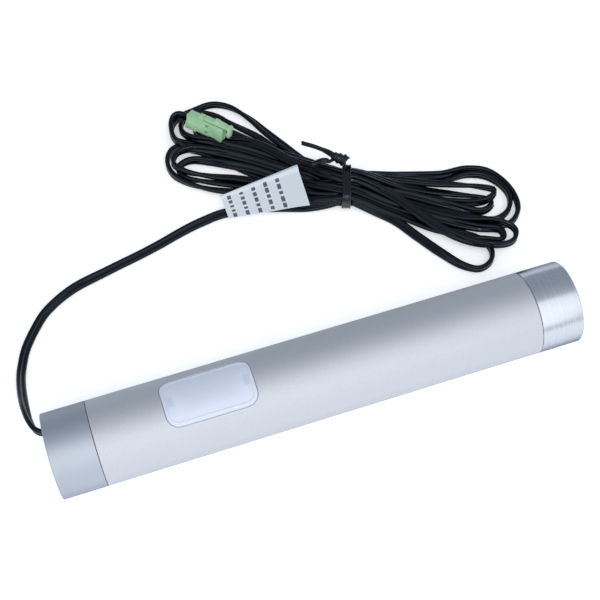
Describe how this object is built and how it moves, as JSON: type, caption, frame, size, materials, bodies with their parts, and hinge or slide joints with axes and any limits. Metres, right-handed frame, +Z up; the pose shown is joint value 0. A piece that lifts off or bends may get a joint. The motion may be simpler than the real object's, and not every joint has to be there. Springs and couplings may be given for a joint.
{
  "type": "tube light bar",
  "caption": "Short round aluminium tube light with metal end caps, a frosted window on top and a thin two-core lead tied in a hank that ends in a small latching connector.",
  "frame": {"origin": "bottom centre of the bar alone, on the surface that it lies on, half way along its length and under its axis", "axes": "+X along the bar, away from the end that the lead leaves; +Z up, the way the window faces; +Y across the bar, towards the hank"},
  "size_m": [0.2382, 0.1779, 0.035],
  "materials": {
    "tube_anodised": "fine bead-blasted satin anodised silver",
    "cap_aluminium": "fine turned, semi-bright",
    "lens_frosted": "frosted translucent polycarbonate",
    "black_moulding": "moulded, fine texture",
    "cord_black": "flexible PVC, semi-gloss",
    "tie_black": "flat PVC strip over wire",
    "label_paper": "matt coated paper with grey printed dashes",
    "connector_green": "moulded polyamide, light green",
    "tinned_contact": "tinned",
    "mill_aluminium": "mill finish",
    "zinc_steel": "zinc plated",
    "thermal_pad": "matt silicone",
    "white_plastic": "matt white",
    "circuit_board": "solder mask",
    "led_phosphor": "yellow phosphor",
    "black_component": "moulded epoxy",
    "wire_red": "PVC"
  },
  "bodies": {
    "bar": {"cable_grommet": "black_moulding", "cap_spigot_left": "black_moulding", "cap_spigot_right": "black_moulding", "chassis_rail": "mill_aluminium", "clamp_screw_1": "zinc_steel", "clamp_screw_2": "zinc_steel", "cord_clamp": "black_moulding", "cord_hank": "cord_black", "driver_board": "circuit_board", "driver_capacitor": "black_component", "driver_chip": "black_component", "driver_diode": "black_component", "driver_inductor": "black_component", "driver_screw_1": "zinc_steel", "driver_screw_2": "zinc_steel", "driver_standoff_1": "zinc_steel", "driver_standoff_2": "zinc_steel", "end_cap_left": "cap_aluminium", "end_cap_right": "cap_aluminium", "heat_spreader": "mill_aluminium", "inner_lead": "cord_black", "input_terminal": "white_plastic", "label_flag": "label_paper", "lead_cord": "cord_black", "led_1": "led_phosphor", "led_2": "led_phosphor", "led_3": "led_phosphor", "led_4": "led_phosphor", "led_5": "led_phosphor", "led_6": "led_phosphor", "led_board": "white_plastic", "led_board_screw_1": "zinc_steel", "led_board_screw_2": "zinc_steel", "led_wire_black": "cord_black", "led_wire_red": "wire_red", "light_box": "white_plastic", "output_terminal": "white_plastic", "plug_contact_1": "tinned_contact", "plug_contact_2": "tinned_contact", "plug_housing": "connector_green", "plug_tail": "cord_black", "rail_screw_left_1": "zinc_steel", "rail_screw_left_2": "zinc_steel", "rail_screw_right_1": "zinc_steel", "rail_screw_right_2": "zinc_steel", "thermal_pad": "thermal_pad", "tube_housing": "tube_anodised", "twist_tie": "tie_black", "window_lens": "lens_frosted"},
    "latch": {"plug_latch": "connector_green"}
  },
  "joints": [
    {"name": "latch_flex", "type": "hinge", "parent": "bar", "child": "latch", "pos_m": [-0.00619, 0.14365, 0.01361], "axis": [-0.7012, -0.6425, 0.309], "range_deg": [0, 8], "stiffness_Nm_per_rad": 0.05}
  ]
}
